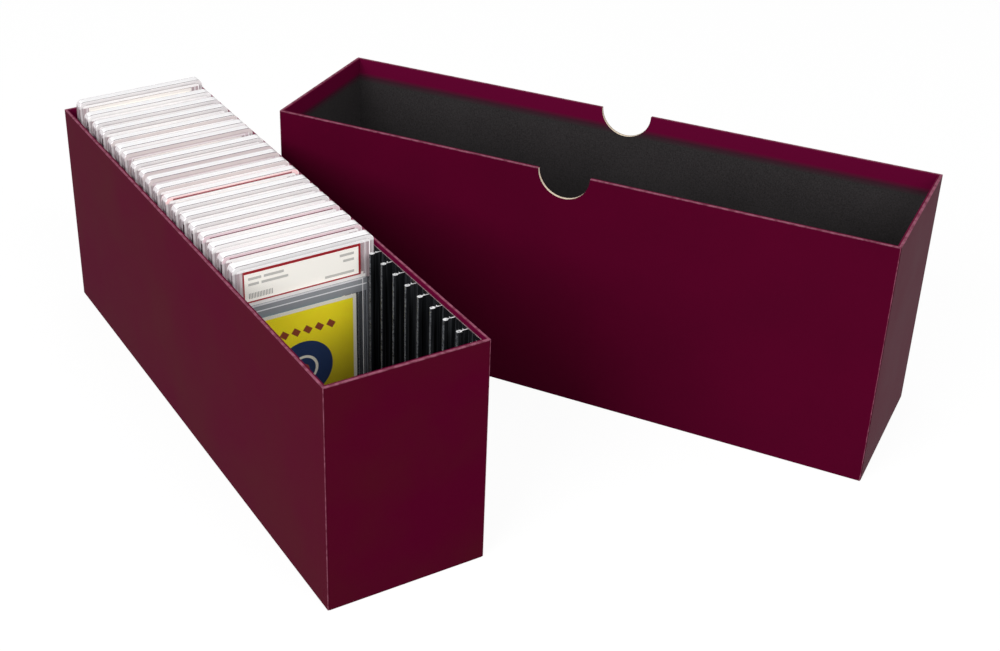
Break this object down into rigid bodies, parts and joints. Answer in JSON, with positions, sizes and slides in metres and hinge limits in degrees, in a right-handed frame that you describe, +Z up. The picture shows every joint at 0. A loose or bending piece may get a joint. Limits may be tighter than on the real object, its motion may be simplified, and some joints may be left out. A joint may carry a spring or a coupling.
{
  "type": "graded card storage box",
  "caption": "Covered-board box for graded trading cards: an open tray with card slabs standing between ribbed inserts, and a separate slip cover with thumb notches.",
  "frame": {"origin": "middle of the tray's underside, on the surface that the row stands on", "axes": "+X to the tray's right seen from its empty front end, +Y along the tray to its back end, +Z up"},
  "size_m": [0.3925, 0.4093, 0.1477],
  "materials": {
    "greyboard": "raw, matte",
    "covering_paper": "burgundy, satin, fine grain",
    "stay_tape": "matte kraft paper",
    "lining_paper": "dark grey, matte, felt-like",
    "black_plastic": "glossy black",
    "clear_plastic": "clear, glossy",
    "label_paper": "off-white paper with a red border",
    "card_stock": "printed card, satin",
    "filled_slab": "clear, glossy, with a paper label and a card inside"
  },
  "bodies": {
    "tray": {"tray_floor_board": "greyboard", "tray_left_board": "greyboard", "tray_right_board": "greyboard", "tray_front_board": "greyboard", "tray_back_board": "greyboard", "tray_left_wrap": "covering_paper", "tray_right_wrap": "covering_paper", "tray_front_paper": "covering_paper", "tray_back_paper": "covering_paper", "tray_base_paper": "covering_paper", "tray_corner_tapes": "stay_tape", "tray_floor_liner": "lining_paper", "tray_end_liners": "lining_paper", "left_rib_sheet": "black_plastic", "right_rib_sheet": "black_plastic", "left_ribs": "black_plastic", "right_ribs": "black_plastic"},
    "cover": {"cover_top_board": "greyboard", "cover_front_board": "greyboard", "cover_rear_board": "greyboard", "cover_left_board": "greyboard", "cover_right_board": "greyboard", "cover_front_wrap": "covering_paper", "cover_rear_wrap": "covering_paper", "cover_left_paper": "covering_paper", "cover_right_paper": "covering_paper", "cover_top_paper": "covering_paper", "cover_corner_tapes": "stay_tape", "cover_top_liner": "lining_paper", "cover_front_liner": "lining_paper", "cover_rear_liner": "lining_paper", "cover_left_liner": "lining_paper", "cover_right_liner": "lining_paper"},
    "slab_01": {"slab_01_front_shell": "clear_plastic", "slab_01_rear_shell": "clear_plastic", "slab_01_sleeve": "clear_plastic", "slab_01_label": "label_paper", "slab_01_card": "card_stock"},
    "slab_02": {"slab_02": "filled_slab"},
    "slab_03": {"slab_03": "filled_slab"},
    "slab_04": {"slab_04": "filled_slab"},
    "slab_05": {"slab_05": "filled_slab"},
    "slab_06": {"slab_06": "filled_slab"},
    "slab_07": {"slab_07": "filled_slab"},
    "slab_08": {"slab_08": "filled_slab"},
    "slab_09": {"slab_09": "filled_slab"},
    "slab_10": {"slab_10": "filled_slab"},
    "slab_11": {"slab_11": "filled_slab"},
    "slab_12": {"slab_12": "filled_slab"},
    "slab_13": {"slab_13": "filled_slab"},
    "slab_14": {"slab_14": "filled_slab"},
    "slab_15": {"slab_15": "filled_slab"},
    "slab_16": {"slab_16": "filled_slab"},
    "slab_17": {"slab_17": "filled_slab"},
    "slab_18": {"slab_18": "filled_slab"},
    "slab_19": {"slab_19": "filled_slab"}
  },
  "joints": [
    {"name": "cover_lift", "type": "slide", "parent": "tray", "child": "cover", "axis": [0, 0, 1], "range_m": [0, 0.16]},
    {"name": "slab_01_lift", "type": "slide", "parent": "tray", "child": "slab_01", "axis": [0, 0, 1], "range_m": [0, 0.14]},
    {"name": "slab_02_lift", "type": "slide", "parent": "tray", "child": "slab_02", "axis": [0, 0, 1], "range_m": [0, 0.14]},
    {"name": "slab_03_lift", "type": "slide", "parent": "tray", "child": "slab_03", "axis": [0, 0, 1], "range_m": [0, 0.14]},
    {"name": "slab_04_lift", "type": "slide", "parent": "tray", "child": "slab_04", "axis": [0, 0, 1], "range_m": [0, 0.14]},
    {"name": "slab_05_lift", "type": "slide", "parent": "tray", "child": "slab_05", "axis": [0, 0, 1], "range_m": [0, 0.14]},
    {"name": "slab_06_lift", "type": "slide", "parent": "tray", "child": "slab_06", "axis": [0, 0, 1], "range_m": [0, 0.14]},
    {"name": "slab_07_lift", "type": "slide", "parent": "tray", "child": "slab_07", "axis": [0, 0, 1], "range_m": [0, 0.14]},
    {"name": "slab_08_lift", "type": "slide", "parent": "tray", "child": "slab_08", "axis": [0, 0, 1], "range_m": [0, 0.14]},
    {"name": "slab_09_lift", "type": "slide", "parent": "tray", "child": "slab_09", "axis": [0, 0, 1], "range_m": [0, 0.14]},
    {"name": "slab_10_lift", "type": "slide", "parent": "tray", "child": "slab_10", "axis": [0, 0, 1], "range_m": [0, 0.14]},
    {"name": "slab_11_lift", "type": "slide", "parent": "tray", "child": "slab_11", "axis": [0, 0, 1], "range_m": [0, 0.14]},
    {"name": "slab_12_lift", "type": "slide", "parent": "tray", "child": "slab_12", "axis": [0, 0, 1], "range_m": [0, 0.14]},
    {"name": "slab_13_lift", "type": "slide", "parent": "tray", "child": "slab_13", "axis": [0, 0, 1], "range_m": [0, 0.14]},
    {"name": "slab_14_lift", "type": "slide", "parent": "tray", "child": "slab_14", "axis": [0, 0, 1], "range_m": [0, 0.14]},
    {"name": "slab_15_lift", "type": "slide", "parent": "tray", "child": "slab_15", "axis": [0, 0, 1], "range_m": [0, 0.14]},
    {"name": "slab_16_lift", "type": "slide", "parent": "tray", "child": "slab_16", "axis": [0, 0, 1], "range_m": [0, 0.14]},
    {"name": "slab_17_lift", "type": "slide", "parent": "tray", "child": "slab_17", "axis": [0, 0, 1], "range_m": [0, 0.14]},
    {"name": "slab_18_lift", "type": "slide", "parent": "tray", "child": "slab_18", "axis": [0, 0, 1], "range_m": [0, 0.14]},
    {"name": "slab_19_lift", "type": "slide", "parent": "tray", "child": "slab_19", "axis": [0, 0, 1], "range_m": [0, 0.14]}
  ]
}
